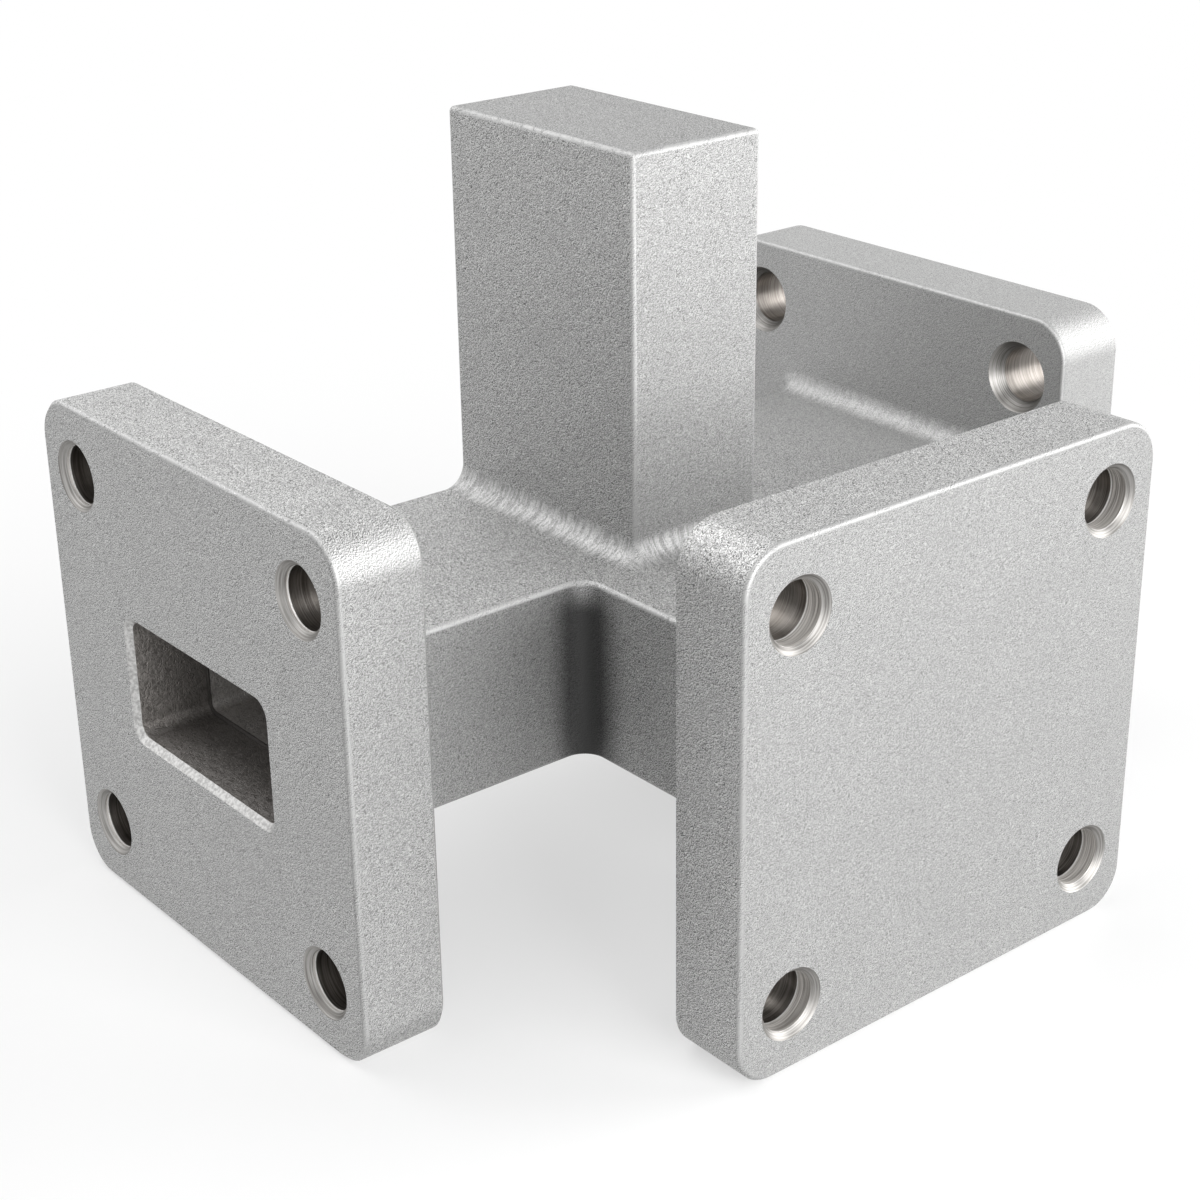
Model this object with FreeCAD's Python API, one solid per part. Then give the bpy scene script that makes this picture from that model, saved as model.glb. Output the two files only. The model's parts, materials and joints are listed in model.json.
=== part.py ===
import FreeCAD, Part
import math
import os

from FreeCAD import Placement, Rotation, Vector

# Waveguide power divider, one casting: a straight main run along X with a square flange at each end,
# a side arm towards -Y with a third flange, and a closed guide stub that rises from the junction.
# All lengths are in millimetres.

# Flanges: square plates that stand on their lower edges
FLANGE_SIDE = 33.3
FLANGE_THICKNESS = 5.7
FLANGE_CORNER_RADIUS = 2.8
PORT_REACH = 31.75

# Bolt holes, one in each corner of each flange, countersunk lightly outside and deeper at the back
BOLT_SPAN_WIDE = 25.25
BOLT_SPAN_HIGH = 24.28
BOLT_HOLE_DIAMETER = 3.8
COUNTERSINK_DIAMETER = 4.6
COUNTERSINK_DEPTH = 0.4
BACK_COUNTERSINK_DIAMETER = 5.0
BACK_COUNTERSINK_DEPTH = 1.0

# Guide bore, the same nominal opening in the run, the side arm and the stub
GUIDE_WIDTH = 15.80
GUIDE_HEIGHT = 7.90
GUIDE_CORNER_RADIUS = 0.8
CAST_BORE_STEP = 0.25
MOUTH_DEPTH = 5.2
MOUTH_EDGE_BREAK = 0.4

# Walls of the casting
NARROW_WALL = 1.27
BROAD_WALL = 2.05
STUB_BROAD_WALL = 1.15
STUB_RISE = 25.75
STUB_END_WALL = 1.6
BLANK_WALL = 3.0

# Broken edges of the flanges, rounded edges of the arms and the stub, and cast fillets
FLANGE_EDGE_BREAK = 0.3
EDGE_RADIUS = 0.35
STUB_CORNER_RADIUS = 0.3
STUB_BASE_FILLET = 1.6
ARM_CORNER_FILLET = 1.4
FLANGE_FOOT_FILLET = 1.5

# Matching post: a turned cone and post whose spigot is pressed into the junction's floor
POST_HEIGHT = 5.0
POST_DIAMETER = 2.2
CONE_HEIGHT = 1.8
CONE_DIAMETER = 6.0
SPIGOT_DIAMETER = 1.6
SPIGOT_CLEARANCE = 0.02
POST_EDGE_CHAMFER = 0.2

# Load: an absorber block bonded in the closed end of the stub, tapered towards the junction
LOAD_LENGTH = 18.0
LOAD_SHOULDER = 4.0
LOAD_TIP_THICKNESS = 0.8
LOAD_CLEARANCE = 0.05

# Places that follow from the sizes above
AXIS_Z = FLANGE_SIDE / 2
CAST_WIDTH = GUIDE_WIDTH - 2 * CAST_BORE_STEP
CAST_HEIGHT = GUIDE_HEIGHT - 2 * CAST_BORE_STEP
CAST_CORNER_RADIUS = GUIDE_CORNER_RADIUS - CAST_BORE_STEP
HALF_ARM_WIDTH = GUIDE_WIDTH / 2 + NARROW_WALL
HALF_ARM_HEIGHT = GUIDE_HEIGHT / 2 + BROAD_WALL
HALF_STUB_DEPTH = GUIDE_HEIGHT / 2 + STUB_BROAD_WALL
FLANGE_BACK = PORT_REACH - FLANGE_THICKNESS
ARM_TOP_Z = AXIS_Z + HALF_ARM_HEIGHT
ARM_BOTTOM_Z = AXIS_Z - HALF_ARM_HEIGHT
STUB_TOP_Z = ARM_TOP_Z + STUB_RISE
STUB_END_Z = STUB_TOP_Z - STUB_END_WALL
BORE_FLOOR_Z = AXIS_Z - CAST_HEIGHT / 2

# The part is drawn about the axis of the junction and then moved, so that its origin is the middle
# of its bounding box in plan, at the level that the flanges stand on
JUNCTION_Y = (PORT_REACH - FLANGE_SIDE / 2) / 2

# Length by which cutters run past the faces that they open
OVERRUN = 1.0
TOLERANCE = 1e-4
SHARP_ANGLE = math.radians(20)

# Directions in plan from the junction to each flange, as turns about Z from +X
REAR_TURN = 0
SIDE_TURN = -90
FRONT_TURN = 180
ARM_TURNS = (REAR_TURN, SIDE_TURN, FRONT_TURN)
OPEN_TURNS = (REAR_TURN, FRONT_TURN)


def block(x_range, y_range, z_range):
    """Box between two values on each axis."""
    low = Vector(x_range[0], y_range[0], z_range[0])
    high = Vector(x_range[1], y_range[1], z_range[1])
    size = high - low
    return Part.makeBox(size.x, size.y, size.z, low)


def rounded_bar(width, height, radius, start, end):
    """Bar along +X from start to end, width along Y, height along Z, with its four long edges rounded."""
    bar = Part.makeBox(end - start, width, height, Vector(start, -width / 2, -height / 2))
    long_edges = [edge for edge in bar.Edges if edge.BoundBox.XLength > TOLERANCE]
    return bar.makeFillet(radius, long_edges)


def face_outward(shape, turn):
    """Turns a shape that was drawn along +X towards one of the flanges and lifts it to the guide's axis."""
    placed = shape.copy()
    placed.Placement = Placement(Vector(0, 0, AXIS_Z), Rotation(Vector(0, 0, 1), turn))
    return placed


def in_plane(edge, distance, turn):
    """True for an edge that lies in the plane at this distance from the junction towards one flange."""
    normal = Rotation(Vector(0, 0, 1), turn).multVec(Vector(1, 0, 0))
    return all(abs(vertex.Point.dot(normal) - distance) < TOLERANCE for vertex in edge.Vertexes)


def is_sharp(shape, edge):
    """True where the two faces beside an edge meet at an angle."""
    faces = shape.ancestorsOfType(edge, Part.Face)
    if len(faces) != 2:
        return False
    middle = edge.valueAt((edge.FirstParameter + edge.LastParameter) / 2)
    normals = [face.normalAt(*face.Surface.parameter(middle)) for face in faces]
    return normals[0].getAngle(normals[1]) > SHARP_ANGLE


def arms_and_stub():
    """The main run, the side arm and the stub as one block with cast fillets and rounded outer edges."""
    arm_z = (ARM_BOTTOM_Z, ARM_TOP_Z)
    across = (-HALF_ARM_WIDTH, HALF_ARM_WIDTH)
    run = block((-FLANGE_BACK, FLANGE_BACK), across, arm_z)
    side_arm = block(across, (-FLANGE_BACK, 0), arm_z)
    stub = block((-HALF_STUB_DEPTH, HALF_STUB_DEPTH), across, (AXIS_Z, STUB_TOP_Z))
    shape = run.fuse([side_arm, stub]).removeSplitter()

    shape = shape.makeFillet(ARM_CORNER_FILLET, upright_edges(shape, HALF_ARM_WIDTH))
    shape = shape.makeFillet(STUB_CORNER_RADIUS, upright_edges(shape, HALF_STUB_DEPTH))
    shape = shape.makeFillet(STUB_BASE_FILLET, stub_base_edges(shape))
    return shape.makeFillet(EDGE_RADIUS, outer_edges(shape))


def upright_edges(shape, half_width):
    """Upright edges at this distance each side of the middle, on the side arm's side of the run."""
    found = []
    for edge in shape.Edges:
        box = edge.BoundBox
        beside = abs(abs(box.Center.x) - half_width) < TOLERANCE
        at_run_face = abs(box.Center.y + HALF_ARM_WIDTH) < TOLERANCE
        if is_upright(edge) and beside and at_run_face:
            found.append(edge)
    return found


def stub_base_edges(shape):
    """The outline of the stub where it stands on top of the arms."""
    found = []
    for edge in shape.Edges:
        box = edge.BoundBox
        on_top = abs(box.ZMin - ARM_TOP_Z) < TOLERANCE and box.ZLength < TOLERANCE
        under_stub = max(-box.XMin, box.XMax) < HALF_STUB_DEPTH + TOLERANCE
        if on_top and under_stub:
            found.append(edge)
    return found


def outer_edges(shape):
    """Every edge that is still sharp, apart from the ends of the arms, which run into the flanges."""
    found = []
    for edge in shape.Edges:
        at_flange = any(in_plane(edge, FLANGE_BACK, turn) for turn in ARM_TURNS)
        if not at_flange and is_sharp(shape, edge):
            found.append(edge)
    return found


def flange_plate(turn):
    """Square plate with rounded corners and broken edges round its two faces."""
    plate = rounded_bar(FLANGE_SIDE, FLANGE_SIDE, FLANGE_CORNER_RADIUS, FLANGE_BACK, PORT_REACH)
    outlines = [edge for edge in plate.Edges if edge.BoundBox.XLength < TOLERANCE]
    return face_outward(plate.makeChamfer(FLANGE_EDGE_BREAK, outlines), turn)


def foot_edges(shape):
    """Where the three arms meet the back faces of their flanges, not the flanges' own outlines."""
    found = []
    for edge in shape.Edges:
        at_back = any(in_plane(edge, FLANGE_BACK, turn) for turn in ARM_TURNS)
        beside_arm = all(abs(vertex.Z - AXIS_Z) < HALF_ARM_HEIGHT + TOLERANCE for vertex in edge.Vertexes)
        if at_back and beside_arm:
            found.append(edge)
    return found


def guide_cavity():
    """The inside of the casting: a through run, a side arm that ends blind, and the stub's bore."""
    run = rounded_bar(CAST_WIDTH, CAST_HEIGHT, CAST_CORNER_RADIUS, -PORT_REACH, PORT_REACH)
    side_arm = rounded_bar(CAST_WIDTH, CAST_HEIGHT, CAST_CORNER_RADIUS, 0, PORT_REACH - BLANK_WALL)
    half_height = CAST_HEIGHT / 2
    half_width = CAST_WIDTH / 2
    stub = block((-half_height, half_height), (-half_width, half_width), (AXIS_Z, STUB_END_Z))
    stub = stub.makeFillet(CAST_CORNER_RADIUS, upright_corners(stub))
    return [face_outward(run, REAR_TURN), face_outward(side_arm, SIDE_TURN), stub]


def upright_corners(shape):
    """Edges that run straight up and down."""
    return [edge for edge in shape.Edges if is_upright(edge)]


def is_upright(edge):
    """True for an edge that runs straight up and down."""
    box = edge.BoundBox
    return box.XLength < TOLERANCE and box.YLength < TOLERANCE


def port_mouth(turn):
    """Machined mouth of an open port, a little wider than the cast bore behind it."""
    mouth = rounded_bar(
        GUIDE_WIDTH, GUIDE_HEIGHT, GUIDE_CORNER_RADIUS, PORT_REACH - MOUTH_DEPTH, PORT_REACH + OVERRUN
    )
    return face_outward(mouth, turn)


def mouth_outline(shape):
    """Edges of the two open mouths in the outer faces of their flanges."""
    found = []
    for edge in shape.Edges:
        box = edge.BoundBox
        at_face = any(in_plane(edge, PORT_REACH, turn) for turn in OPEN_TURNS)
        near_axis = max(-box.YMin, box.YMax) < GUIDE_WIDTH / 2 + TOLERANCE
        within_height = abs(box.Center.z - AXIS_Z) < GUIDE_HEIGHT / 2 + TOLERANCE
        if at_face and near_axis and within_height:
            found.append(edge)
    return found


def overrun_radius(diameter, depth):
    """Radius that a countersink's cone has grown to where its cutter ends beyond the face."""
    bore = BOLT_HOLE_DIAMETER / 2
    return bore + (diameter / 2 - bore) * (depth + OVERRUN) / depth


def bolt_hole():
    """Cutter for one bolt hole along +X: a straight bore with a countersink at each face."""
    bore = BOLT_HOLE_DIAMETER / 2
    outer = overrun_radius(COUNTERSINK_DIAMETER, COUNTERSINK_DEPTH)
    back = overrun_radius(BACK_COUNTERSINK_DIAMETER, BACK_COUNTERSINK_DEPTH)
    profile = [
        Vector(FLANGE_BACK - OVERRUN, 0, 0),
        Vector(FLANGE_BACK - OVERRUN, back, 0),
        Vector(FLANGE_BACK + BACK_COUNTERSINK_DEPTH, bore, 0),
        Vector(PORT_REACH - COUNTERSINK_DEPTH, bore, 0),
        Vector(PORT_REACH + OVERRUN, outer, 0),
        Vector(PORT_REACH + OVERRUN, 0, 0),
    ]
    face = Part.Face(Part.makePolygon(profile + profile[:1]))
    return face.revolve(Vector(0, 0, 0), Vector(1, 0, 0), 360)


def bolt_holes(turn):
    """The four bolt holes of one flange."""
    holes = []
    for y in (-BOLT_SPAN_WIDE / 2, BOLT_SPAN_WIDE / 2):
        for z in (-BOLT_SPAN_HIGH / 2, BOLT_SPAN_HIGH / 2):
            hole = bolt_hole()
            hole.translate(Vector(0, y, z))
            holes.append(face_outward(Part.Solid(hole), turn))
    return holes


def spigot_hole():
    """Hole through the junction's floor for the matching post's spigot."""
    radius = SPIGOT_DIAMETER / 2 + SPIGOT_CLEARANCE
    base = Vector(0, 0, ARM_BOTTOM_Z - OVERRUN)
    return Part.makeCylinder(radius, BORE_FLOOR_Z - ARM_BOTTOM_Z + 2 * OVERRUN, base)


def divider_body():
    """The whole casting with its machined mouths and holes."""
    shape = arms_and_stub().fuse([flange_plate(turn) for turn in ARM_TURNS]).removeSplitter()
    shape = shape.makeFillet(FLANGE_FOOT_FILLET, foot_edges(shape))
    shape = shape.cut(guide_cavity() + [port_mouth(turn) for turn in OPEN_TURNS])
    shape = shape.makeChamfer(MOUTH_EDGE_BREAK, mouth_outline(shape))
    for turn in ARM_TURNS:
        shape = shape.cut(bolt_holes(turn))
    return shape.cut(spigot_hole())


def matching_post():
    """Turned post on a cone, with a spigot that ends flush with the underside of the casting."""
    spigot = SPIGOT_DIAMETER / 2
    post = POST_DIAMETER / 2
    profile = [
        Vector(0, 0, ARM_BOTTOM_Z),
        Vector(spigot, 0, ARM_BOTTOM_Z),
        Vector(spigot, 0, BORE_FLOOR_Z),
        Vector(CONE_DIAMETER / 2, 0, BORE_FLOOR_Z),
        Vector(post, 0, BORE_FLOOR_Z + CONE_HEIGHT),
        Vector(post, 0, BORE_FLOOR_Z + POST_HEIGHT - POST_EDGE_CHAMFER),
        Vector(post - POST_EDGE_CHAMFER, 0, BORE_FLOOR_Z + POST_HEIGHT),
        Vector(0, 0, BORE_FLOOR_Z + POST_HEIGHT),
    ]
    face = Part.Face(Part.makePolygon(profile + profile[:1]))
    return Part.Solid(face.revolve(Vector(0, 0, 0), Vector(0, 0, 1), 360))


def stub_load():
    """Absorber block against the stub's closed end, cut to a slant that thins out towards the junction."""
    half = CAST_HEIGHT / 2 - LOAD_CLEARANCE
    half_width = CAST_WIDTH / 2 - LOAD_CLEARANCE
    shoulder_z = STUB_END_Z - LOAD_SHOULDER
    tip_z = STUB_END_Z - LOAD_LENGTH
    profile = [
        Vector(-half, -half_width, STUB_END_Z),
        Vector(half, -half_width, STUB_END_Z),
        Vector(half, -half_width, tip_z),
        Vector(half - LOAD_TIP_THICKNESS, -half_width, tip_z),
        Vector(-half, -half_width, shoulder_z),
    ]
    face = Part.Face(Part.makePolygon(profile + profile[:1]))
    load = face.extrude(Vector(0, 2 * half_width, 0))
    return load.makeFillet(CAST_CORNER_RADIUS, upright_corners(load))


def main():
    """Writes each piece to its own file, moved from the junction's axis to the part's origin."""
    os.makedirs("parts", exist_ok=True)
    pieces = {
        "divider_body": divider_body(),
        "matching_post": matching_post(),
        "stub_load": stub_load(),
    }
    for name, shape in pieces.items():
        placed = shape.copy()
        placed.translate(Vector(0, JUNCTION_Y, 0))
        placed.exportStep(os.path.join("parts", name + ".step"))
        print(name, "valid" if placed.isValid() else "not valid", round(placed.Volume, 1))


main()
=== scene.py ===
import json
import math

import bmesh
import bpy
from mathutils import Matrix, Vector


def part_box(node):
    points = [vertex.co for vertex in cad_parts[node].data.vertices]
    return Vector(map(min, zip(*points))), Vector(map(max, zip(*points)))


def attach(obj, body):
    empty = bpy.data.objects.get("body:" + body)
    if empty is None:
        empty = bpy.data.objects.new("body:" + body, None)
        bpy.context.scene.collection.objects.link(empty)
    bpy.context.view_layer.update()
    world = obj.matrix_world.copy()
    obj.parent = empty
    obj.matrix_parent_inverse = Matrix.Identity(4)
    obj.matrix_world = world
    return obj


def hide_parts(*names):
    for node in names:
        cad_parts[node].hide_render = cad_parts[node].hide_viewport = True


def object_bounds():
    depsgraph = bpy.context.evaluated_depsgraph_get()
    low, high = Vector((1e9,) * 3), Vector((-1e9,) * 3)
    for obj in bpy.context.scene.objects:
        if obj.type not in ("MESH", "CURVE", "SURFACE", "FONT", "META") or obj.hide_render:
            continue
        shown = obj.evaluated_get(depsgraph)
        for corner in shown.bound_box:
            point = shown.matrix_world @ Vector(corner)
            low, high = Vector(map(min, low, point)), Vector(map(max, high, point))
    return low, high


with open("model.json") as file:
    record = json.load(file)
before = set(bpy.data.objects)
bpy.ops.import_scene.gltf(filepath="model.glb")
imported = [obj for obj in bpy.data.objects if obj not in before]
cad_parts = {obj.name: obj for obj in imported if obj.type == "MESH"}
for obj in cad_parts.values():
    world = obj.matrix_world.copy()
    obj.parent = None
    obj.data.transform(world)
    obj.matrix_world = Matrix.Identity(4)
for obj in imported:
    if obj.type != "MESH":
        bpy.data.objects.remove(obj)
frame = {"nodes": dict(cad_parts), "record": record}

CAD_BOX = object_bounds()
MM = 0.001

# Places on the casting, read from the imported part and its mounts
MOUNTS = {mount["name"]: mount for mount in frame["record"]["mounts"]}
FRONT_BOLTS = MOUNTS["front_port_bolts"]
PORT_REACH = FRONT_BOLTS["pos_m"][0] * -1
JUNCTION_Y = FRONT_BOLTS["pos_m"][1]
AXIS_Z = FRONT_BOLTS["pos_m"][2]
HALF_SPAN_WIDE = FRONT_BOLTS["dims"]["spacing_x_mm"] * MM / 2
HALF_SPAN_HIGH = FRONT_BOLTS["dims"]["spacing_y_mm"] * MM / 2
FLANGE_BACK = 2 * MOUNTS["rear_foot"]["pos_m"][0] - PORT_REACH
STUB_TOP_Z = CAD_BOX[1].z

# Inside of the guide, from the load's sides to just past the walls of the machined mouths
LOAD_LOW, LOAD_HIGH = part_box("stub_load")
PAST_WALL = 0.4 * MM
HALF_BORE_WIDTH = (LOAD_HIGH.y - LOAD_LOW.y) / 2 + PAST_WALL
HALF_BORE_HEIGHT = (LOAD_HIGH.x - LOAD_LOW.x) / 2 + PAST_WALL
BORE_END_Z = LOAD_HIGH.z

# Sizes of the casting that the mounts don't state
HALF_ARM_WIDTH = 9.17 * MM
ARM_TOP_Z = AXIS_Z + 6.0 * MM
MOUTH_DEPTH = 5.2 * MM

# Limits that tell the kinds of surface apart: reach of a countersink from its hole's axis, depth and
# breadth of the broken edge round a port, depth at which the walls of the guide begin, least wall that
# closes the side arm, reach of a flange's rounded corners from its middle, and slack on a place
SINK_REACH = 2.54 * MM
LIP_DEPTH = 0.45 * MM
LIP_BREADTH = 1.0 * MM
WALLS_BEGIN = 0.41 * MM
CLOSING_WALL_LEAST = 1.0 * MM
CORNER_REACH = 20 * MM
PLACE_SLACK = 0.1 * MM
FACE_SLACK = 0.05 * MM

# How squarely a face looks along an axis, as its normal's share along that axis
LEVEL = 0.9995
NEARLY_LEVEL = 0.985
SLANTED = 0.95
FACING = 0.9
LIP_SLANT = 0.2
SIDEWAYS = 0.1
UPRIGHT = 0.05

# Welding and smooth shading of the casting
WELD = 1e-6
SMOOTH_ANGLE = math.radians(50)
SAME_NORMAL = 0.999
EDGE_ATTRIBUTE = "broken_edge"
RUN_ATTRIBUTE = "along_strip"

# Blasted finishes: size of the grain, depth of its pits, contrast of the painted light and shade on its
# flanks, and roughness, which is one step lower on the burnished flanks and one step higher on the others
BLASTED_SKIN = {"grain": 0.105 * MM, "depth": 0.0014 * MM, "contrast": 0.70, "roughness": 0.62}
BLASTED_FACE = {"grain": 0.095 * MM, "depth": 0.0012 * MM, "contrast": 0.66, "roughness": 0.60}
CAST_COLOUR = (0.38, 0.38, 0.377)
BURNISH_STEP = 0.05

# Blasted grain, in lengths of one grain: pits, ridges and mottling, and the shift that sets the side from
# which the painted light falls on the ridges' flanks
PIT_SIZE = 0.8
RIDGE_SIZE = 1.5
RIDGE_WANDER = 1.2
RIDGE_SHARPNESS = 5.5
MOTTLE_SIZE = 40.0
MOTTLE_SHARE = 0.10
MOTTLE_SHADE = 0.8
PAINTED_LIGHT_SHIFT = (-0.20, 0.25, 0.35)
FLANK_HEIGHTS = (-0.35, 0.35)

# Shares of the painted light and shade on the grain's flanks on the rear flange, where the folds take the
# same share, and on the sides that look the side arm's way, and the shares of the normal along Y between
# which the second fades out
REAR_SHARE = 0.45
SIDE_SHARE = 0.65
SIDE_FACING = (-1.0, -0.5)

# Painted shade that darkens the stub's top below the other tops: how far below the top it starts and is
# full, its share and its shade
STUB_END_START = 0.35 * MM
STUB_END_FULL = 0.05 * MM
STUB_TOP_SHADE_SHARE = 0.4
STUB_TOP_PAINTED_SHADE = 0.55

# Broken edges: rubbed patches, the longer stretches that hold them, and the gain on the rubbed metal,
# partly wear and partly a painted highlight
RUB_SIZE = 0.45 * MM
STRETCH_SIZE = 3.0 * MM
STRETCH_WEIGHT = 0.5
RUB_HEIGHTS = (0.55, 0.95)
DULL_SHARE = 0.15
EDGE_WEAR_AND_HIGHLIGHT_GAIN = 1.10

# Painted shade in the upright corners between the run and the side arm: where the dark is full and where
# it ends, how much narrower it is on the run, how far below the arms' top it begins to fade and how far
# above it is gone, and its shade
CORNER_FULL = 0.3 * MM
CORNER_FADE = 4.2 * MM
CORNER_NARROWING = 1.3
CORNER_BELOW_TOP = 2.2 * MM
CORNER_ABOVE_TOP = 0.2 * MM
PAINTED_CORNER_SHADE = 0.15

# Folds across the cast fillets: size along the fillet, draw across it, their shades and their relief
FOLD_SIZE = 0.27 * MM
FOLD_DRAW = 0.20
FOLD_WANDER = 0.6
FOLD_HEIGHTS = (0.38, 0.62)
FOLD_SHADE = 0.95
FOLD_CONTRAST = 0.32
FOLD_RELIEF = 9.0
FOLD_SHARE = 0.6

# How sharply a noise from 0 to 1 is cut into its two sides, and the middle of such a noise
SOFT = (0.30, 0.70)
FIRM = (0.32, 0.68)
CRISP = (0.35, 0.65)
NOISE_MIDDLE = 0.5

# Countersinks: fine rings, with the share of a noise's change that is left round the hole
RING_DRAW = 0.02
SINK_RING = 0.08 * MM
SINK_COLOURS = ((0.17, 0.163, 0.154), (0.36, 0.352, 0.34))
SINK_ROUGHNESS = (0.38, 0.50)
SINK_RELIEF = 0.003 * MM

# Drilled bores: opened out as far as the tool went, to a step with a painted highlight, and behind it
# painted shade, dark and smeared
OPENED_ALONG_X = 0.60 * MM
OPENED_ALONG_Y = 1.5 * MM
OPENED_STEP = 0.06 * MM
DRILL_RING = 0.09 * MM
DRILL_BAND = 0.5 * MM
DRILL_BAND_DRAW = 0.1
DEEP_DRILL_PAINTED_SHADES = ((0.14, 0.126, 0.113), (0.30, 0.28, 0.26))
SMEAR_COLOUR = (0.12, 0.107, 0.093)
SMEAR_HEIGHTS = (0.4, 0.7)
SMEAR_SHARE = 0.5
OPENED_COLOURS = ((0.36, 0.343, 0.324), (0.74, 0.72, 0.695))
STEP_PAINTED_HIGHLIGHT = (0.88, 0.87, 0.855)
STEP_START = 0.12 * MM
STEP_FULL = 0.04 * MM
DRILL_ROUGHNESS = (0.30, 0.44)
SCRAPED_ROUGHNESS = 0.34
DRILL_RELIEF = 0.006 * MM

# Guide: scratched and stained mouths, painted shade that darkens them further in and along the step at
# their inner ends, and the greyer cast bore behind them
GUIDE_GRAIN = 0.20 * MM
SCRATCH_SIZE = 0.16 * MM
SCRATCH_TURN = (math.radians(35), 0.0, math.radians(20))
SCRATCH_DRAW = (1.0, 0.3, 0.3)
SHINE_HEIGHTS = (0.30, 0.85)
MOUTH_COLOURS = ((0.21, 0.195, 0.185), (0.40, 0.385, 0.37))
SIDE_WALL_COLOURS = ((0.19, 0.177, 0.166), (0.41, 0.39, 0.37))
SIDE_WALL_START = 0.6 * MM
SIDE_WALL_FULL = 0.2 * MM
DEEP_PAINTED_SHADE = (0.16, 0.15, 0.14)
DEEP_DEPTHS = (0.5 * MM, 4.0 * MM)
DEEP_SHADE_SHARE = 0.6
RIM_PAINTED_SHADE = (0.13, 0.124, 0.118)
RIM_START = 0.08 * MM
RIM_FULL = 0.02 * MM
BORE_COLOURS = ((0.36, 0.346, 0.333), (0.58, 0.56, 0.542))
BORE_START = 0.05 * MM
BORE_FULL = 0.15 * MM
GUIDE_ROUGHNESS = (0.52, 0.66)
GUIDE_RELIEF = 0.045 * MM

# Broken edge round the ports: short cutter marks
LIP_MARK = 0.22 * MM
LIP_COLOURS = ((0.33, 0.327, 0.322), (0.55, 0.547, 0.54))
LIP_ROUGHNESS = (0.44, 0.56)
LIP_RELIEF = 0.01 * MM

# Matching post: turned rings, drawn out round the post
BRASS_RING = 0.12 * MM
BRASS_DRAW = (0.05, 0.05, 1.0)
BRASS_COLOURS = ((0.62, 0.44, 0.19), (0.78, 0.60, 0.32))
BRASS_ROUGHNESS = (0.22, 0.36)
BRASS_RELIEF = 0.006 * MM

# Load: pores and speckles of the filled resin
RESIN_GRAIN = 0.25 * MM
SPECKLE_SIZE = 0.35 * MM
SPECKLE_HEIGHTS = (0.40, 0.65)
RESIN_COLOURS = ((0.035, 0.035, 0.04), (0.09, 0.09, 0.095))
RESIN_ROUGHNESS = (0.62, 0.80)
RESIN_RELIEF = 0.02 * MM

# Camera, fitted to the straight edges of the photograph
CAMERA_PLACE = Vector((-0.0912, -0.1044, 0.0789))
CAMERA_AZIMUTH = math.radians(39.0)
CAMERA_ELEVATION = math.radians(23.7)
CAMERA_ROLL = math.radians(-0.8)
CAMERA_LENS = 69.6
SENSOR_WIDTH = 36.0
NEAREST_SEEN = 0.005
FURTHEST_SEEN = 20.0

# Area lamps: direction from the part, size and power
LAMPS = {
    "low_front": (Vector((0.0, -1.0, 0.33)), 0.35, 2.75),
    "low_right": (Vector((0.92, -0.39, 0.33)), 0.35, 2.25),
    "low_left": (Vector((-0.54, -0.84, 0.33)), 0.35, 0.80),
    "back_soft": (Vector((-0.17, 0.98, 0.58)), 0.45, 0.27),
    "back_left": (Vector((-0.77, 0.64, 0.58)), 0.45, 0.20),
    "high_back": (Vector((-0.17, 0.98, 1.73)), 0.45, 0.82),
    "high_left": (Vector((-0.77, 0.64, 1.73)), 0.45, 0.65),
}
LAMP_DISTANCE = 0.50
AIM = Vector((0.0, 0.0, 0.02))

# Surroundings: white to the camera, a little greyer in gloss, and nearly without light of their own
WHITE = (1.0, 1.0, 1.0)
BLACK = (0.0, 0.0, 0.0)
BACKDROP_COLOUR = (0.90, 0.90, 0.90)
WORLD_LIGHT = (0.05, 0.05, 0.05)

# Floor: the colour that throws light back on the part, then where it is seen the colour that light and
# shadow fall on, the glow added to it, and the distances over which both turn plain white
FLOOR_RADIUS = 3.0
FLOOR_SIDES = 96
FLOOR_COLOUR = (0.90, 0.90, 0.90)
FLOOR_SEEN = (0.45, 0.45, 0.45)
FLOOR_GLOW = (0.50, 0.50, 0.50)
FLOOR_FADE = (0.035, 0.12)
FLOOR_ROUGHNESS = 0.9

# Sockets of a Mix node that mixes colours
MIX_FACTOR = 0
MIX_FIRST = 6
MIX_SECOND = 7
MIX_RESULT = 2


def new_material(name):
    """A material with only a shader and its output, which are joined."""
    material = bpy.data.materials.new(name)
    material.use_nodes = True
    tree = material.node_tree
    tree.nodes.clear()
    shader = tree.nodes.new("ShaderNodeBsdfPrincipled")
    output = tree.nodes.new("ShaderNodeOutputMaterial")
    tree.links.new(shader.outputs["BSDF"], output.inputs["Surface"])
    return material, tree, shader


def math_node(tree, operation, first, second=None):
    """A math node on one or two inputs, each a number or a socket."""
    node = tree.nodes.new("ShaderNodeMath")
    node.operation = operation
    for slot, value in enumerate((first, second)):
        if isinstance(value, (int, float)):
            node.inputs[slot].default_value = value
        elif value is not None:
            tree.links.new(value, node.inputs[slot])
    return node.outputs[0]


def halfway(tree, first, second):
    """The mean of two values."""
    return math_node(tree, "MULTIPLY", math_node(tree, "ADD", first, second), 0.5)


def ramp(tree, value, given, wanted=(0.0, 1.0)):
    """Maps a value smoothly from one range to another."""
    node = tree.nodes.new("ShaderNodeMapRange")
    node.interpolation_type = "SMOOTHSTEP"
    tree.links.new(value, node.inputs["Value"])
    for name, limit in zip(("From Min", "From Max", "To Min", "To Max"), (*given, *wanted)):
        node.inputs[name].default_value = limit
    return node.outputs["Result"]


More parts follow.
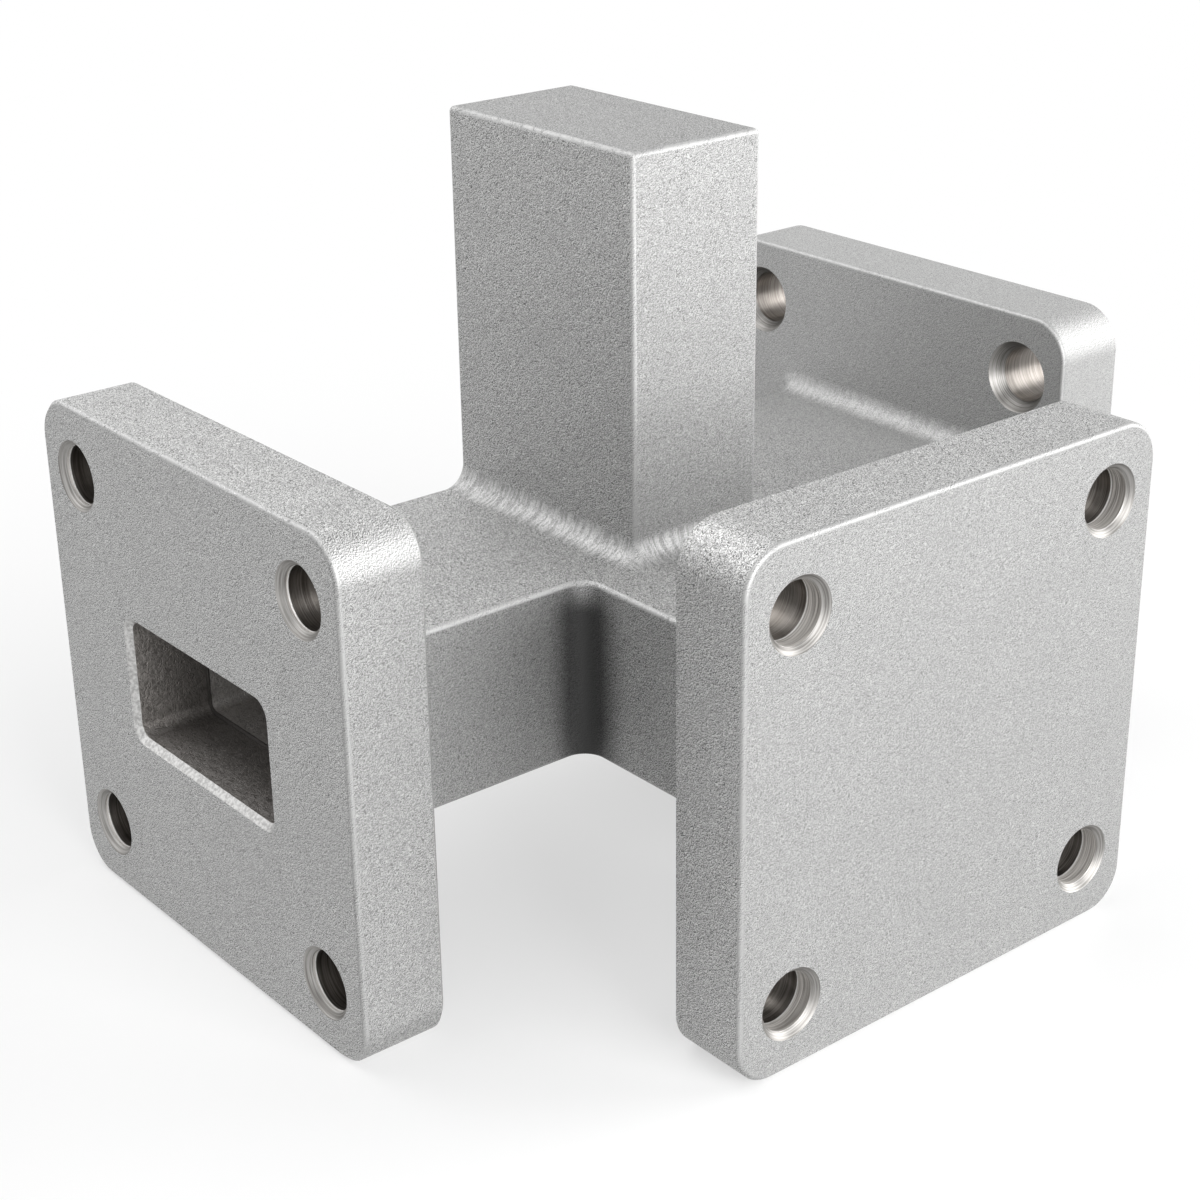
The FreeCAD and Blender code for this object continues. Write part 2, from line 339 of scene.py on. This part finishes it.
def mix_colour(tree, factor, first, second):
    """Mixes two colours by a mask."""
    node = tree.nodes.new("ShaderNodeMix")
    node.data_type = "RGBA"
    tree.links.new(factor, node.inputs[MIX_FACTOR])
    for slot, value in ((MIX_FIRST, first), (MIX_SECOND, second)):
        if isinstance(value, tuple):
            node.inputs[slot].default_value = (*value, 1.0)
        else:
            tree.links.new(value, node.inputs[slot])
    return node.outputs[MIX_RESULT]


def noise(tree, vector, size, detail=2.0, roughness=0.5, wander=0.0):
    """Noise with features of a given size, in metres or in the vector's own unit."""
    node = tree.nodes.new("ShaderNodeTexNoise")
    tree.links.new(vector, node.inputs["Vector"])
    node.inputs["Scale"].default_value = 1.0 / size
    node.inputs["Detail"].default_value = detail
    node.inputs["Roughness"].default_value = roughness
    node.inputs["Distortion"].default_value = wander
    return node.outputs["Fac"]


def object_coordinates(tree):
    """The point on the object, in metres."""
    return tree.nodes.new("ShaderNodeTexCoord").outputs["Object"]


def attribute(tree, name):
    """A value stored on the mesh."""
    node = tree.nodes.new("ShaderNodeAttribute")
    node.attribute_name = name
    return node.outputs["Fac"]


def separate(tree, vector):
    """The X, Y and Z sockets of a vector."""
    node = tree.nodes.new("ShaderNodeSeparateXYZ")
    tree.links.new(vector, node.inputs[0])
    return node.outputs


def combine(tree, *values):
    """A vector from three sockets."""
    node = tree.nodes.new("ShaderNodeCombineXYZ")
    for value, socket in zip(values, node.inputs):
        tree.links.new(value, socket)
    return node.outputs[0]


def mapped(tree, vector, scale, rotation=(0.0, 0.0, 0.0)):
    """A vector turned and drawn out."""
    node = tree.nodes.new("ShaderNodeMapping")
    node.inputs["Rotation"].default_value = rotation
    node.inputs["Scale"].default_value = scale
    tree.links.new(vector, node.inputs["Vector"])
    return node.outputs["Vector"]


def vector_math(tree, operation, vector):
    """A vector math node on a vector."""
    node = tree.nodes.new("ShaderNodeVectorMath")
    node.operation = operation
    tree.links.new(vector, node.inputs[0])
    return node


def dress(tree, shader, colour, roughness, height, relief, metallic=1.0):
    """Gives a shader its colour, roughness and relief."""
    tree.links.new(colour, shader.inputs["Base Color"])
    tree.links.new(roughness, shader.inputs["Roughness"])
    shader.inputs["Metallic"].default_value = metallic
    bump = tree.nodes.new("ShaderNodeBump")
    bump.inputs["Distance"].default_value = relief
    tree.links.new(height, bump.inputs["Height"])
    tree.links.new(bump.outputs["Normal"], shader.inputs["Normal"])


def new_group(name, inputs, outputs):
    """A shader node group with float or vector sockets, its input node and its output node."""
    group = bpy.data.node_groups.new(name, "ShaderNodeTree")
    for socket, kind in inputs:
        group.interface.new_socket(socket, in_out="INPUT", socket_type=kind)
    for socket in outputs:
        group.interface.new_socket(socket, in_out="OUTPUT", socket_type="NodeSocketFloat")
    return group, group.nodes.new("NodeGroupInput"), group.nodes.new("NodeGroupOutput")


def pitted(tree, point):
    """Height of the small pits of the blasted skin."""
    return noise(tree, point, PIT_SIZE, detail=1.0)


def wrinkles(tree, point):
    """Height of the blasted skin: short wandering ridges with small pits between them."""
    winding = noise(tree, point, RIDGE_SIZE, detail=1.0, wander=RIDGE_WANDER)
    beside = math_node(tree, "ABSOLUTE", math_node(tree, "SUBTRACT", winding, NOISE_MIDDLE))
    ridges = math_node(tree, "SUBTRACT", 1.0, math_node(tree, "MULTIPLY", beside, RIDGE_SHARPNESS))
    return halfway(tree, ridges, pitted(tree, point))


def blasted_grain():
    """Grain left by shot on cast metal, with painted light and shade: each ridge is painted lighter on one
    side and darker on the other, as if lit from one way.
    """
    group, start, end = new_group(
        "blasted grain",
        [("Point", "NodeSocketVector"), ("Grain", "NodeSocketFloat")],
        ["Height", "Pits", "Painted flank light and burnish", "Mottle"],
    )
    links = group.links
    scaled = vector_math(group, "SCALE", start.outputs["Point"])
    links.new(math_node(group, "DIVIDE", 1.0, start.outputs["Grain"]), scaled.inputs["Scale"])
    point = scaled.outputs["Vector"]
    moved = vector_math(group, "ADD", point)
    moved.inputs[1].default_value = PAINTED_LIGHT_SHIFT
    height = wrinkles(group, point)
    flank = math_node(group, "SUBTRACT", height, wrinkles(group, moved.outputs["Vector"]))
    links.new(height, end.inputs["Height"])
    links.new(pitted(group, point), end.inputs["Pits"])
    links.new(ramp(group, flank, FLANK_HEIGHTS), end.inputs["Painted flank light and burnish"])
    links.new(noise(group, point, MOTTLE_SIZE), end.inputs["Mottle"])
    return group


def painted_light_and_fold_shares():
    """How much of the grain's painted flank light and shade and of the folds a place shows, and the mask
    of painted shade on the stub's top.

    The painted flank light and shade is weaker on the sides that look the side arm's way, and the rear
    flange is the smoothest.
    """
    group, start, end = new_group(
        "painted light and fold shares", [("Point", "NodeSocketVector")], ["Grain share", "Fold share", "Painted stub top shade"]
    )
    place = separate(group, start.outputs["Point"])
    facing = separate(group, group.nodes.new("ShaderNodeTexCoord").outputs["Normal"])
    rear = ramp(group, place["X"], (HALF_ARM_WIDTH, FLANGE_BACK), (1.0, REAR_SHARE))
    side = ramp(group, facing["Y"], SIDE_FACING, (SIDE_SHARE, 1.0))
    group.links.new(math_node(group, "MULTIPLY", rear, side), end.inputs["Grain share"])
    group.links.new(rear, end.inputs["Fold share"])
    # Mask of painted shade on the stub's top
    painted_top_shade = (STUB_TOP_Z - STUB_END_START, STUB_TOP_Z - STUB_END_FULL)
    group.links.new(ramp(group, place["Z"], painted_top_shade, (0.0, STUB_TOP_SHADE_SHARE)), end.inputs["Painted stub top shade"])
    return group


def worn_and_highlit_edges():
    """Mask over the broken edges of the casting, rubbed in places and left dull in others: a lightening
    that is partly wear and partly a painted highlight.
    """
    group, start, end = new_group("worn and highlit edges", [("Point", "NodeSocketVector")], ["Mask"])
    point = start.outputs["Point"]
    rubbed = noise(group, point, RUB_SIZE, detail=3.0, roughness=0.65)
    stretches = noise(group, point, STRETCH_SIZE, detail=1.0)
    patchy = math_node(group, "ADD", rubbed, math_node(group, "MULTIPLY", stretches, STRETCH_WEIGHT))
    bright = ramp(group, patchy, RUB_HEIGHTS, (DULL_SHARE, 1.0))
    mask = math_node(group, "MULTIPLY", attribute(group, EDGE_ATTRIBUTE), bright)
    group.links.new(mask, end.inputs["Mask"])
    return group


def painted_shade_in_corners():
    """Mask of painted shade along the two upright corners between the run and the side arm."""
    group, start, end = new_group("painted shade in corners", [("Point", "NodeSocketVector")], ["Mask"])
    place = separate(group, start.outputs["Point"])
    across = math_node(group, "SUBTRACT", math_node(group, "ABSOLUTE", place["X"]), HALF_ARM_WIDTH)
    across = math_node(group, "MULTIPLY", across, CORNER_NARROWING)
    out = math_node(group, "SUBTRACT", JUNCTION_Y - HALF_ARM_WIDTH, place["Y"])
    squares = [math_node(group, "POWER", way, 2.0) for way in (across, out)]
    away = math_node(group, "SQRT", math_node(group, "ADD", *squares))
    near = ramp(group, away, (CORNER_FULL, CORNER_FADE), (1.0, 0.0))
    top = (ARM_TOP_Z - CORNER_BELOW_TOP, ARM_TOP_Z + CORNER_ABOVE_TOP)
    below_top = ramp(group, place["Z"], top, (1.0, 0.0))
    group.links.new(math_node(group, "MULTIPLY", near, below_top), end.inputs["Mask"])
    return group


def fillet_folds():
    """Height of the folds that cross a cast fillet from one arm to the other."""
    group, start, end = new_group("fillet folds", [("Point", "NodeSocketVector")], ["Height"])
    drawn = vector_math(group, "SCALE", start.outputs["Point"])
    drawn.inputs["Scale"].default_value = FOLD_DRAW
    place = separate(group, drawn.outputs["Vector"])
    across = math_node(group, "ADD", place["X"], place["Y"])
    point = combine(group, attribute(group, RUN_ATTRIBUTE), across, place["Z"])
    height = noise(group, point, FOLD_SIZE, roughness=0.6, wander=FOLD_WANDER)
    group.links.new(height, end.inputs["Height"])
    return group


GRAIN = blasted_grain()
LIGHT_AND_FOLD_SHARES = painted_light_and_fold_shares()
EDGE_WEAR_AND_HIGHLIGHT = worn_and_highlit_edges()
PAINTED_CORNER_MASK = painted_shade_in_corners()
FOLDS = fillet_folds()


def use_group(tree, group, point, **values):
    """Places a node group on a point and returns its outputs."""
    node = tree.nodes.new("ShaderNodeGroup")
    node.node_tree = group
    tree.links.new(point, node.inputs["Point"])
    for name, value in values.items():
        node.inputs[name].default_value = value
    return node.outputs


def shade(gain):
    """The casting's colour, lighter or darker."""
    return tuple(channel * gain for channel in CAST_COLOUR)


def lay_folds(tree, folds, share, colour, height):
    """Lays the folds of a cast fillet over the skin, and returns its new colour and height."""
    dark, bright = shade(FOLD_SHADE - FOLD_CONTRAST), shade(FOLD_SHADE + FOLD_CONTRAST)
    streaks = mix_colour(tree, ramp(tree, folds, FOLD_HEIGHTS), dark, bright)
    cover = math_node(tree, "MULTIPLY", share, FOLD_SHARE)
    raised = math_node(tree, "MULTIPLY", math_node(tree, "MULTIPLY", folds, share), FOLD_RELIEF)
    return mix_colour(tree, cover, colour, streaks), math_node(tree, "ADD", height, raised)


def cast_metal(name, grain, depth, contrast, roughness, folded=False):
    """Blasted aluminium: grain with painted light and shade on its flanks, faint mottling, rubbed edges
    that are partly a painted highlight, painted shade on the stub's top and in the upright corners between
    the arms, and folds on fillets.
    """
    material, tree, shader = new_material(name)
    point = object_coordinates(tree)
    skin = use_group(tree, GRAIN, point, Grain=grain)
    blast = use_group(tree, LIGHT_AND_FOLD_SHARES, point)
    # Painted light and shade on the grain: one flank of each ridge lighter, the other darker, less of it
    # where its share is low
    from_middle = math_node(tree, "SUBTRACT", skin["Painted flank light and burnish"], NOISE_MIDDLE)
    calmed = math_node(tree, "MULTIPLY", from_middle, blast["Grain share"])
    flanks = math_node(tree, "ADD", calmed, NOISE_MIDDLE)
    colour = mix_colour(tree, flanks, shade(1 - contrast), shade(1 + contrast))
    # Painted shade on the stub's top
    colour = mix_colour(tree, blast["Painted stub top shade"], colour, shade(STUB_TOP_PAINTED_SHADE))
    mottled = ramp(tree, skin["Mottle"], CRISP, (0.0, MOTTLE_SHARE))
    colour = mix_colour(tree, mottled, colour, shade(MOTTLE_SHADE))
    height = skin["Pits"]
    if folded:
        folds = use_group(tree, FOLDS, point)["Height"]
        colour, height = lay_folds(tree, folds, blast["Fold share"], colour, height)
    else:
        # Rubbed edges made lighter: partly wear, partly a painted highlight
        rubbed = use_group(tree, EDGE_WEAR_AND_HIGHLIGHT, point)["Mask"]
        colour = mix_colour(tree, rubbed, colour, shade(EDGE_WEAR_AND_HIGHLIGHT_GAIN))
    # Painted shade in the upright corners between the arms
    corners = use_group(tree, PAINTED_CORNER_MASK, point)["Mask"]
    colour = mix_colour(tree, corners, colour, shade(PAINTED_CORNER_SHADE))
    polish = (roughness + BURNISH_STEP, roughness - BURNISH_STEP)
    rough = ramp(tree, skin["Painted flank light and burnish"], (0.0, 1.0), polish)
    dress(tree, shader, colour, rough, height, depth)
    return material


def tool_marks(tree, along, size, draw=RING_DRAW):
    """Noise drawn out round a hole, so that it changes along the hole's axis only."""
    place = separate(tree, object_coordinates(tree))
    shares = {axis: 1.0 if axis == along else draw for axis in "XYZ"}
    drawn = [math_node(tree, "MULTIPLY", place[axis], share) for axis, share in shares.items()]
    return noise(tree, combine(tree, *drawn), size, detail=3.0, roughness=0.6)


def sunk_metal(name, along):
    """The countersinks: bright cut metal with fine rings."""
    material, tree, shader = new_material(name)
    rings = tool_marks(tree, along, SINK_RING)
    colour = mix_colour(tree, ramp(tree, rings, CRISP), *SINK_COLOURS)
    rough = ramp(tree, rings, SOFT, SINK_ROUGHNESS)
    dress(tree, shader, colour, rough, rings, SINK_RELIEF)
    return material


def drilled_metal(name, along, opened):
    """The drilled bores: opened out and bright just inside the face, with a painted highlight on the step,
    then painted shade, darker and smeared, further in.
    """
    material, tree, shader = new_material(name)
    place = separate(tree, object_coordinates(tree))
    if along == "X":
        out = math_node(tree, "ABSOLUTE", place["X"])
    else:
        out = math_node(tree, "SUBTRACT", JUNCTION_Y, place["Y"])
    depth = math_node(tree, "SUBTRACT", PORT_REACH, out)
    rings = tool_marks(tree, along, DRILL_RING)
    bands = tool_marks(tree, along, DRILL_BAND, DRILL_BAND_DRAW)
    # Painted shade further in the hole, with smeared streaks
    shaded_deep = mix_colour(tree, ramp(tree, rings, FIRM), *DEEP_DRILL_PAINTED_SHADES)
    shaded_deep = mix_colour(tree, ramp(tree, bands, SMEAR_HEIGHTS, (0.0, SMEAR_SHARE)), shaded_deep, SMEAR_COLOUR)
    cut = mix_colour(tree, ramp(tree, rings, FIRM), *OPENED_COLOURS)
    # Painted highlight on the step where the opening ends
    step = ramp(tree, depth, (opened - STEP_START, opened - STEP_FULL))
    cut = mix_colour(tree, step, cut, STEP_PAINTED_HIGHLIGHT)
    end_of_cut = (opened, opened + OPENED_STEP)
    colour = mix_colour(tree, ramp(tree, depth, end_of_cut), cut, shaded_deep)
    scraped = ramp(tree, depth, end_of_cut, (SCRAPED_ROUGHNESS, 0.0))
    rough = math_node(tree, "ADD", ramp(tree, rings, SOFT, DRILL_ROUGHNESS), scraped)
    dress(tree, shader, colour, rough, rings, DRILL_RELIEF)
    return material


def guide_metal():
    """The inside of the guide: machined mouths stained by cutting oil and darkened by painted shade
    further in and at their step, greyer cast metal behind them.
    """
    material, tree, shader = new_material("guide bore")
    point = object_coordinates(tree)
    grain = use_group(tree, GRAIN, point, Grain=GUIDE_GRAIN)["Height"]
    slanted = mapped(tree, point, SCRATCH_DRAW, SCRATCH_TURN)
    scratches = noise(tree, slanted, SCRATCH_SIZE, detail=3.0, roughness=0.65)
    marks = halfway(tree, scratches, grain)
    shine = ramp(tree, marks, SHINE_HEIGHTS)
    place = separate(tree, point)
    inside = math_node(tree, "SUBTRACT", PORT_REACH, math_node(tree, "ABSOLUTE", place["X"]))
    beside = math_node(tree, "ABSOLUTE", math_node(tree, "SUBTRACT", place["Y"], JUNCTION_Y))
    side_wall = ramp(tree, beside, (HALF_BORE_WIDTH - SIDE_WALL_START, HALF_BORE_WIDTH - SIDE_WALL_FULL))
    mouth = mix_colour(tree, shine, *MOUTH_COLOURS)
    mouth = mix_colour(tree, side_wall, mouth, mix_colour(tree, shine, *SIDE_WALL_COLOURS))
    # Painted shade: the mouths darken further in
    mouth = mix_colour(tree, ramp(tree, inside, DEEP_DEPTHS, (0.0, DEEP_SHADE_SHARE)), mouth, DEEP_PAINTED_SHADE)
    # Painted shade along the step at the mouth's inner end
    painted_rim_shade = ramp(tree, inside, (MOUTH_DEPTH - RIM_START, MOUTH_DEPTH - RIM_FULL))
    mouth = mix_colour(tree, painted_rim_shade, mouth, RIM_PAINTED_SHADE)
    behind = ramp(tree, inside, (MOUTH_DEPTH + BORE_START, MOUTH_DEPTH + BORE_FULL))
    colour = mix_colour(tree, behind, mouth, mix_colour(tree, shine, *BORE_COLOURS))
    rough = ramp(tree, scratches, SOFT, GUIDE_ROUGHNESS)
    dress(tree, shader, colour, rough, marks, GUIDE_RELIEF)
    return material


def milled_lip():
    """The broken edge round the open ports: bright where the cutter left it, with short marks across."""
    material, tree, shader = new_material("milled lip")
    marks = noise(tree, object_coordinates(tree), LIP_MARK, detail=3.0, roughness=0.6)
    colour = mix_colour(tree, ramp(tree, marks, CRISP), *LIP_COLOURS)
    rough = ramp(tree, marks, SOFT, LIP_ROUGHNESS)
    dress(tree, shader, colour, rough, marks, LIP_RELIEF)
    return material


def turned_brass():
    """The matching post: turned brass with fine rings."""
    material, tree, shader = new_material("turned brass")
    rings = noise(tree, mapped(tree, object_coordinates(tree), BRASS_DRAW), BRASS_RING)
    colour = mix_colour(tree, ramp(tree, rings, SOFT), *BRASS_COLOURS)
    rough = ramp(tree, rings, SOFT, BRASS_ROUGHNESS)
    dress(tree, shader, colour, rough, rings, BRASS_RELIEF)
    return material


def absorber_resin():
    """The load: iron-filled resin, matt and dark, with fine pores."""
    material, tree, shader = new_material("absorber resin")
    point = object_coordinates(tree)
    pores = use_group(tree, GRAIN, point, Grain=RESIN_GRAIN)["Height"]
    speckle = noise(tree, point, SPECKLE_SIZE, detail=3.0, roughness=0.7)
    colour = mix_colour(tree, ramp(tree, speckle, SPECKLE_HEIGHTS), *RESIN_COLOURS)
    rough = ramp(tree, speckle, SOFT, RESIN_ROUGHNESS)
    dress(tree, shader, colour, rough, pores, RESIN_RELIEF, metallic=0.0)
    return material


def hole_finish(centre, normal):
    """The finish of a face in a bolt hole, or None: the countersinks slant and the bores don't."""
    out_y = JUNCTION_Y - centre.y
    up = abs(abs(centre.z - AXIS_Z) - HALF_SPAN_HIGH)
    beside = {
        "x": (abs(centre.x), abs(abs(out_y) - HALF_SPAN_WIDE), abs(normal.x)),
        "y": (out_y, abs(abs(centre.x) - HALF_SPAN_WIDE), abs(normal.y)),
    }
    for axis, (out, aside, slant) in beside.items():
        in_flange = out > FLANGE_BACK - PLACE_SLACK
        if in_flange and slant < SLANTED and math.hypot(aside, up) < SINK_REACH:
            return ("bore " if slant < SIDEWAYS else "sink ") + axis
    return None


def is_port_face(centre, normal):
    """True on the outer faces of the three flanges."""
    near = PORT_REACH - FACE_SLACK
    on_run = abs(centre.x) > near and abs(normal.x) > FACING
    on_side_arm = JUNCTION_Y - centre.y > near and normal.y < -FACING
    return on_run or on_side_arm


def is_port_lip(centre, normal):
    """True on the broken edge round the open ports of the run."""
    in_mouth = (
        abs(JUNCTION_Y - centre.y) < HALF_BORE_WIDTH + LIP_BREADTH
        and abs(centre.z - AXIS_Z) < HALF_BORE_HEIGHT + LIP_BREADTH
        and abs(centre.x) > PORT_REACH - LIP_DEPTH
    )
    return in_mouth and LIP_SLANT < abs(normal.x) < SLANTED


def is_in_guide(centre):
    """True on the walls of the guide's bores."""
    out_y = JUNCTION_Y - centre.y
    level = abs(centre.z - AXIS_Z) < HALF_BORE_HEIGHT
    in_run = level and abs(out_y) < HALF_BORE_WIDTH and abs(centre.x) < PORT_REACH - WALLS_BEGIN
    in_side_arm = (
        level
        and abs(centre.x) < HALF_BORE_WIDTH
        and -HALF_BORE_WIDTH < out_y < PORT_REACH - CLOSING_WALL_LEAST
    )
    in_stub = (
        abs(centre.x) < HALF_BORE_HEIGHT
        and abs(out_y) < HALF_BORE_WIDTH
        and AXIS_Z < centre.z < BORE_END_Z + PLACE_SLACK
    )
    return in_run or in_side_arm or in_stub


def is_flange_corner(centre, normal):
    """True on the large rounded corners of the flanges, between their two chamfers."""
    out_y = JUNCTION_Y - centre.y
    for out, aside, slant in ((abs(centre.x), out_y, normal.x), (out_y, centre.x, normal.y)):
        far = math.hypot(aside, centre.z - AXIS_Z) > CORNER_REACH
        if out > FLANGE_BACK and abs(slant) < SIDEWAYS and far:
            return True
    return False


def strip_kind(face):
    """The kind of a narrow strip: a chamfer or rounding along an outer edge, or a level cast fillet."""
    if max(abs(value) for value in face.normal) > NEARLY_LEVEL:
        return None
    if is_flange_corner(face.calc_center_median(), face.normal):
        return None
    bend = sum(edge.calc_length() * edge.calc_face_angle_signed(0.0) for edge in face.edges)
    if bend > 0:
        return "edge"
    return None if abs(face.normal.z) < UPRIGHT else "fillet"


def face_finish(face, kind):
    """The finish for the kind of surface that a face belongs to."""
    centre = face.calc_center_median()
    hole = hole_finish(centre, face.normal)
    if hole:
        return hole
    if is_port_face(centre, face.normal):
        return "face"
    if is_port_lip(centre, face.normal):
        return "lip"
    if is_in_guide(centre):
        return "guide"
    return "fillet" if kind == "fillet" else "skin"


def casting_finishes():
    """The finishes of the casting, by the kind of surface."""
    return {
        "skin": cast_metal("blasted skin", **BLASTED_SKIN),
        "fillet": cast_metal("blasted fillet", **BLASTED_SKIN, folded=True),
        "face": cast_metal("blasted face", **BLASTED_FACE),
        "guide": guide_metal(),
        "lip": milled_lip(),
        "sink x": sunk_metal("countersink along x", "X"),
        "sink y": sunk_metal("countersink along y", "Y"),
        "bore x": drilled_metal("drilled along x", "X", OPENED_ALONG_X),
        "bore y": drilled_metal("drilled along y", "Y", OPENED_ALONG_Y),
    }


def casting():
    """The casting as one welded mesh with a finish for each kind of surface."""
    mesh = frame["nodes"]["divider_body"].data.copy()
    mesh.name = "casting"
    mesh.materials.clear()
    finishes = casting_finishes()
    for material in finishes.values():
        mesh.materials.append(material)
    places = {name: place for place, name in enumerate(finishes)}
    welded = bmesh.new()
    welded.from_mesh(mesh)
    bmesh.ops.remove_doubles(welded, verts=welded.verts, dist=WELD)
    welded.normal_update()
    broken = welded.loops.layers.float.new(EDGE_ATTRIBUTE)
    run = welded.loops.layers.float.new(RUN_ATTRIBUTE)
    for face in welded.faces:
        kind = strip_kind(face)
        face.material_index = places[face_finish(face, kind)]
        along = min(range(3), key=lambda axis: abs(face.normal[axis]))
        for corner in face.loops:
            corner[run] = corner.vert.co[along]
            corner[broken] = 1.0 if kind == "edge" else 0.0
    welded.to_mesh(mesh)
    welded.free()
    smooth_shade(mesh)
    piece = bpy.data.objects.new("casting", mesh)
    bpy.context.scene.collection.objects.link(piece)
    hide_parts("divider_body")
    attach(piece, "root")


def is_level(normal):
    """True for a face square to one of the axes."""
    return max(abs(value) for value in normal) > LEVEL


def corner_normal(face, beside, broad):
    """The normal of one corner of a face, from the faces of its own surface that meet there.

    Level faces keep their own normal. Narrow strips take the normal of what they join: a level face first,
    then one of the broad rounded corners of the flanges.
    """
    if is_level(face.normal):
        return face.normal
    near = [other for other in beside if other.normal.angle(face.normal) < SMOOTH_ANGLE]
    level = [other for other in near if is_level(other.normal)]
    rounded = [other for other in near if other.index in broad]
    distinct = []
    for other in level or rounded or near:
        if all(other.normal.dot(kept) < SAME_NORMAL for kept in distinct):
            distinct.append(other.normal)
    return sum(distinct, Vector()).normalized()


def surface_name(material):
    """The surface that a material is shaded with: the blasted finishes run into each other smoothly."""
    return "cast" if material.name.startswith("blasted") else material.name


def smooth_shade(mesh):
    """Smooth shading: level faces stay flat, broken edges read as rounded and hole rims stay crisp."""
    surfaces = [surface_name(material) for material in mesh.materials]
    broad = {face.index for face in mesh.polygons if is_flange_corner(face.center, face.normal)}
    meeting = {}
    for face in mesh.polygons:
        for vertex in face.vertices:
            meeting.setdefault((vertex, surfaces[face.material_index]), []).append(face)
    normals = []
    for face in mesh.polygons:
        for vertex in face.vertices:
            beside = meeting[vertex, surfaces[face.material_index]]
            normals.append(corner_normal(face, beside, broad))
    mesh.shade_smooth()
    mesh.normals_split_custom_set(normals)


def sees_backdrop(tree):
    """1 for the rays that show the surroundings: from the camera, in gloss and through glass."""
    path = tree.nodes.new("ShaderNodeLightPath")
    seen = math_node(tree, "MAXIMUM", path.outputs["Is Camera Ray"], path.outputs["Is Glossy Ray"])
    return math_node(tree, "MAXIMUM", seen, path.outputs["Is Transmission Ray"])


def add_floor():
    """A wide pale floor that keeps the part's shadow near it and looks white to the camera further out."""
    bpy.ops.mesh.primitive_circle_add(vertices=FLOOR_SIDES, radius=FLOOR_RADIUS, fill_type="NGON")
    floor = bpy.context.active_object
    floor.name = "floor"
    material, tree, shader = new_material("floor")
    seen = sees_backdrop(tree)
    distance = vector_math(tree, "LENGTH", object_coordinates(tree)).outputs["Value"]
    away = ramp(tree, distance, FLOOR_FADE)
    lit = mix_colour(tree, away, FLOOR_SEEN, BLACK)
    glow = mix_colour(tree, away, FLOOR_GLOW, WHITE)
    tree.links.new(mix_colour(tree, seen, FLOOR_COLOUR, lit), shader.inputs["Base Color"])
    tree.links.new(mix_colour(tree, seen, BLACK, glow), shader.inputs["Emission Color"])
    shader.inputs["Emission Strength"].default_value = 1.0
    shader.inputs["Roughness"].default_value = FLOOR_ROUGHNESS
    shader.inputs["Specular IOR Level"].default_value = 0.0
    floor.data.materials.append(material)


def add_world():
    """A pale backdrop all round, with less light of its own than it shows."""
    world = bpy.data.worlds.new("studio")
    bpy.context.scene.world = world
    world.use_nodes = True
    tree = world.node_tree
    tree.nodes.clear()
    output = tree.nodes.new("ShaderNodeOutputWorld")
    backdrop = tree.nodes.new("ShaderNodeBackground")
    colour = mix_colour(tree, sees_backdrop(tree), WORLD_LIGHT, BACKDROP_COLOUR)
    direct = tree.nodes.new("ShaderNodeLightPath").outputs["Is Camera Ray"]
    tree.links.new(mix_colour(tree, direct, colour, WHITE), backdrop.inputs["Color"])
    tree.links.new(backdrop.outputs[0], output.inputs["Surface"])


def add_lamps():
    """Soft studio lamps round the part."""
    for name, (direction, size, power) in LAMPS.items():
        lamp = bpy.data.lights.new(name, "AREA")
        lamp.shape = "SQUARE"
        lamp.size = size
        lamp.energy = power
        place = bpy.data.objects.new(name, lamp)
        place.location = AIM + direction.normalized() * LAMP_DISTANCE
        place.rotation_euler = direction.to_track_quat("Z", "Y").to_euler()
        bpy.context.scene.collection.objects.link(place)


def add_camera():
    """The photograph's viewpoint."""
    ahead = Vector((
        math.sin(CAMERA_AZIMUTH) * math.cos(CAMERA_ELEVATION),
        math.cos(CAMERA_AZIMUTH) * math.cos(CAMERA_ELEVATION),
        -math.sin(CAMERA_ELEVATION),
    ))
    level = Vector((math.cos(CAMERA_AZIMUTH), -math.sin(CAMERA_AZIMUTH), 0.0))
    upward = level.cross(ahead)
    right = level * math.cos(CAMERA_ROLL) + upward * math.sin(CAMERA_ROLL)
    up = upward * math.cos(CAMERA_ROLL) - level * math.sin(CAMERA_ROLL)
    turn = Matrix((right, up, -ahead)).transposed()
    data = bpy.data.cameras.new("camera")
    data.lens = CAMERA_LENS
    data.sensor_width = SENSOR_WIDTH
    data.clip_start = NEAREST_SEEN
    data.clip_end = FURTHEST_SEEN
    camera = bpy.data.objects.new("camera", data)
    camera.matrix_world = Matrix.Translation(CAMERA_PLACE) @ turn.to_4x4()
    bpy.context.scene.collection.objects.link(camera)
    bpy.context.scene.camera = camera


def dress_inner_pieces():
    """Finishes for the post and the load, whose CAD meshes stay as they are."""
    for node, material in (("matching_post", turned_brass()), ("stub_load", absorber_resin())):
        mesh = frame["nodes"][node].data
        mesh.materials.clear()
        mesh.materials.append(material)


casting()
dress_inner_pieces()
add_floor()
add_world()
add_lamps()
add_camera()
bpy.context.scene.view_settings.view_transform = "Standard"
